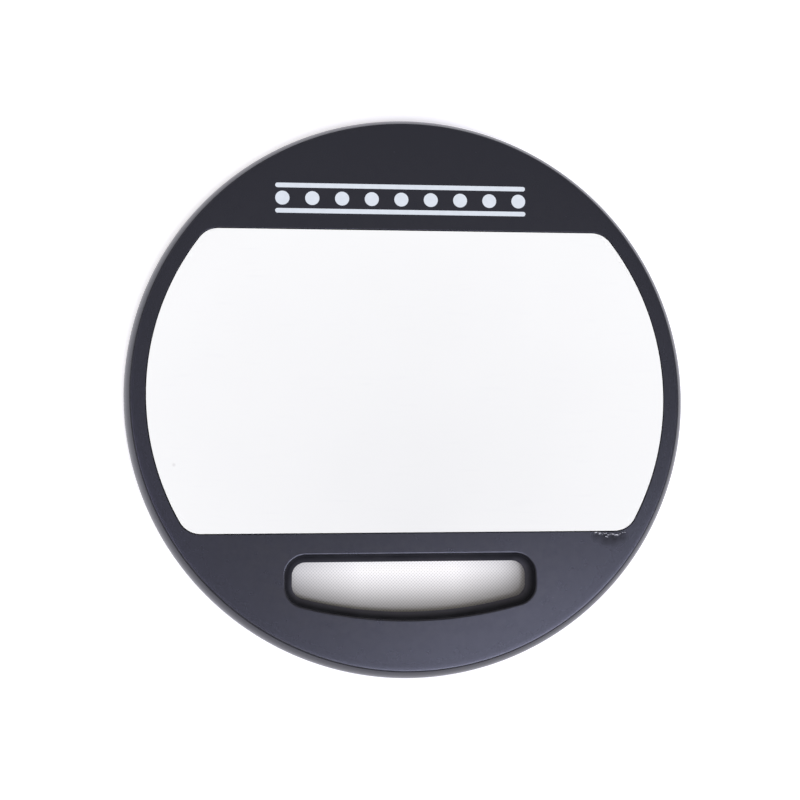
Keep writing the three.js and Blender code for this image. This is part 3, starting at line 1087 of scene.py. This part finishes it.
def slot_shade(g):
    """The painted shade on the cloth under the slot, as how bright the cloth is: less towards the slot's ends
    and its outer edge.
    """
    start, end = ENDS_DARKEN_X
    ends = g.span(g.math("ABSOLUTE", g.axis("X")), start * MM, end * MM, 1, PAINTED_SHADE_AT_SLOT_ENDS)
    outer = g.along("Y", *OUTSIDE_DARKENS_Y, 1, PAINTED_SHADE_AT_SLOT_OUTSIDE)
    return g.math("MULTIPLY", ends, outer)


def add_floor():
    """A pale floor, far wider than the pad: woven under it, with painted shade and painted glow there, and a
    weak painted glow all round it.
    """
    mesh = bmesh.new()
    bmesh.ops.create_grid(mesh, x_segments=1, y_segments=1, size=FLOOR_SIZE)
    data = bpy.data.meshes.new("floor")
    mesh.to_mesh(data)
    mesh.free()
    data.materials.append(floor_finish())
    floor = bpy.data.objects.new("floor", data)
    bpy.context.scene.collection.objects.link(floor)


def floor_finish():
    """The floor's material: pale, with the cloth's weave, painted shade and painted glow under the pad, and a
    painted glow round it.
    """
    g = Graph("pale_floor", (0.93, 0.93, 0.935), 0.9, specular=0.2)
    reach = g.add("ShaderNodeVectorMath", {0: g.where}, operation="LENGTH").outputs["Value"]
    # Painted glow: the floor gives off light round the pad though it is no lamp, with less of it on the
    # slot's side.
    side = g.along("Y", -PAINTED_GLOW_FULL, -PAINTED_GLOW_FULL / 2, PAINTED_GLOW_BY_SLOT, 1)
    painted_glow = g.math("MULTIPLY", g.span(reach, PAINTED_GLOW_STARTS * MM, PAINTED_GLOW_FULL * MM, 0, FLOOR_PAINTED_GLOW), side)
    under_pad = g.span(reach, PAINTED_GLOW_STARTS * MM, (PAINTED_GLOW_STARTS + CLOTH_EASE) * MM, 1, 0)
    # The weave, times the painted shade on the cloth under the slot, which is darker towards the slot's ends
    # and outer edge.
    shade = g.math("MULTIPLY", woven(g), slot_shade(g))
    # Painted glow of the cloth, brightest where the painted shade is lightest.
    painted_cloth_glow = g.math("MULTIPLY", g.math("POWER", shade, 4.0), CLOTH_PAINTED_GLOW)
    # Painted shadow: the glow is dimmed in a spot by the pad's top edge.
    by_rim = g.span(reach, TOP_SHADE_STARTS * MM, TOP_SHADE_ENDS * MM, 1, 0)
    top = g.math("MULTIPLY", g.near(*TOP_SHADE), by_rim)
    painted_glow = g.math("MULTIPLY", painted_glow, g.math("SUBTRACT", 1.0, g.math("MULTIPLY", top, TOP_SHADE_STRENGTH)))
    painted_glow = g.math("ADD", painted_glow, g.math("MULTIPLY", painted_cloth_glow, under_pad))
    g.shader.inputs["Emission Color"].default_value = (1, 1, 1, 1)
    g.feed(g.shader.inputs["Emission Strength"], painted_glow)
    pale = g.blend(g.noise(300), (0.925, 0.925, 0.93), (0.94, 0.94, 0.94))
    # The cloth's colour carries the weave and the painted shade.
    cloth = g.blend(shade, (0, 0, 0), (0.99, 0.98, 0.91))
    return g.finish(g.blend(under_pad, pale, cloth))


# Strengths, colours and sizes of the lights. Where a lamp is from is its turn about Z from +X, and its rise.
SKY_LEFT = 0.44
SKY_RIGHT = 0.245
SKY_COLOUR = (1.06, 1.0, 0.88, 1)
KEY_FROM = (math.radians(-54), math.radians(58))
KEY_SIZE = math.radians(46)
KEY_STRENGTH = 2.55
KEY_COLOUR = (0.96, 0.97, 1.14)
FILL_FROM = (math.radians(192), math.radians(72))
FILL_SIZE = math.radians(16)
FILL_STRENGTH = 0.2
FILL_COLOUR = (0.95, 0.9, 1.3)


def add_lamp(name, place, size, strength, colour):
    """A far, round, soft lamp."""
    light = bpy.data.lights.new(name, "SUN")
    light.angle = size
    light.energy = strength
    light.color = colour
    turn, rise = place
    towards = Vector((math.cos(rise) * math.cos(turn), math.cos(rise) * math.sin(turn), math.sin(rise)))
    lamp = bpy.data.objects.new(name, light)
    lamp.rotation_mode = "QUATERNION"
    lamp.rotation_quaternion = towards.to_track_quat("Z", "Y")
    bpy.context.scene.collection.objects.link(lamp)


def add_light():
    """A soft sky, brighter on the left, a wide, cool key light from beyond the slot, and a weak fill."""
    world = bpy.data.worlds.new("studio")
    world.use_nodes = True
    nodes = world.node_tree.nodes
    links = world.node_tree.links
    background = nodes["Background"]
    background.inputs["Color"].default_value = SKY_COLOUR
    where = nodes.new("ShaderNodeTexCoord")
    split = nodes.new("ShaderNodeSeparateXYZ")
    slope = nodes.new("ShaderNodeMapRange")
    slope.inputs["From Min"].default_value = -1
    slope.inputs["To Min"].default_value = SKY_LEFT
    slope.inputs["To Max"].default_value = SKY_RIGHT
    links.new(where.outputs["Generated"], split.inputs[0])
    links.new(split.outputs["X"], slope.inputs["Value"])
    links.new(slope.outputs[0], background.inputs["Strength"])
    bpy.context.scene.world = world
    add_lamp("key", KEY_FROM, KEY_SIZE, KEY_STRENGTH, KEY_COLOUR)
    add_lamp("fill", FILL_FROM, FILL_SIZE, FILL_STRENGTH, FILL_COLOUR)
    bpy.context.scene.view_settings.view_transform = "Standard"


# ---- the pad ----

add_camera()
add_floor()
add_light()

FACE_BLACK = (0.0124, 0.0132, 0.018)
FACE_WORN = (0.035, 0.035, 0.04)
BODY_BLACK = (0.02, 0.0198, 0.0205)
BODY_WORN = (0.04, 0.04, 0.045)
GLUE_SMUDGE = [
    (117.5, -91.2, FACE_Z, 4.5),
    (123, -92.2, FACE_Z, 6.5),
    (128, -92.2, FACE_Z, 7),
    (133, -91.2, FACE_Z, 5),
]

slot_wall_finish = dull_plastic()
face_finish = satin_plastic("satin_face", FACE_BLACK, FACE_WORN, 0.26, GLUE_SMUDGE)
body_finish = satin_plastic("satin_body", BODY_BLACK, BODY_WORN, 0.42)
make_face_plate([face_finish, slot_wall_finish])
make_body_tray([body_finish, slot_wall_finish])
make_layer("play_sheet", "play_surface_sheet", coated_film(), edge=0.1)
make_layer("sheet_adhesive", "sheet_glue_film", contact_adhesive(), edge=0.05)
foam = make_layer("foam_layer", "rebound_foam", closed_cell_foam(), edge=0.9)
make_layer("core_board", "core_hardboard", hardboard(), edge=0.35)
make_grip_ring(black_rubber())
make_screws(zinc_plate())
make_print(screen_ink())
make_glue_beads(dried_glue())

bpy.context.view_layer.update()
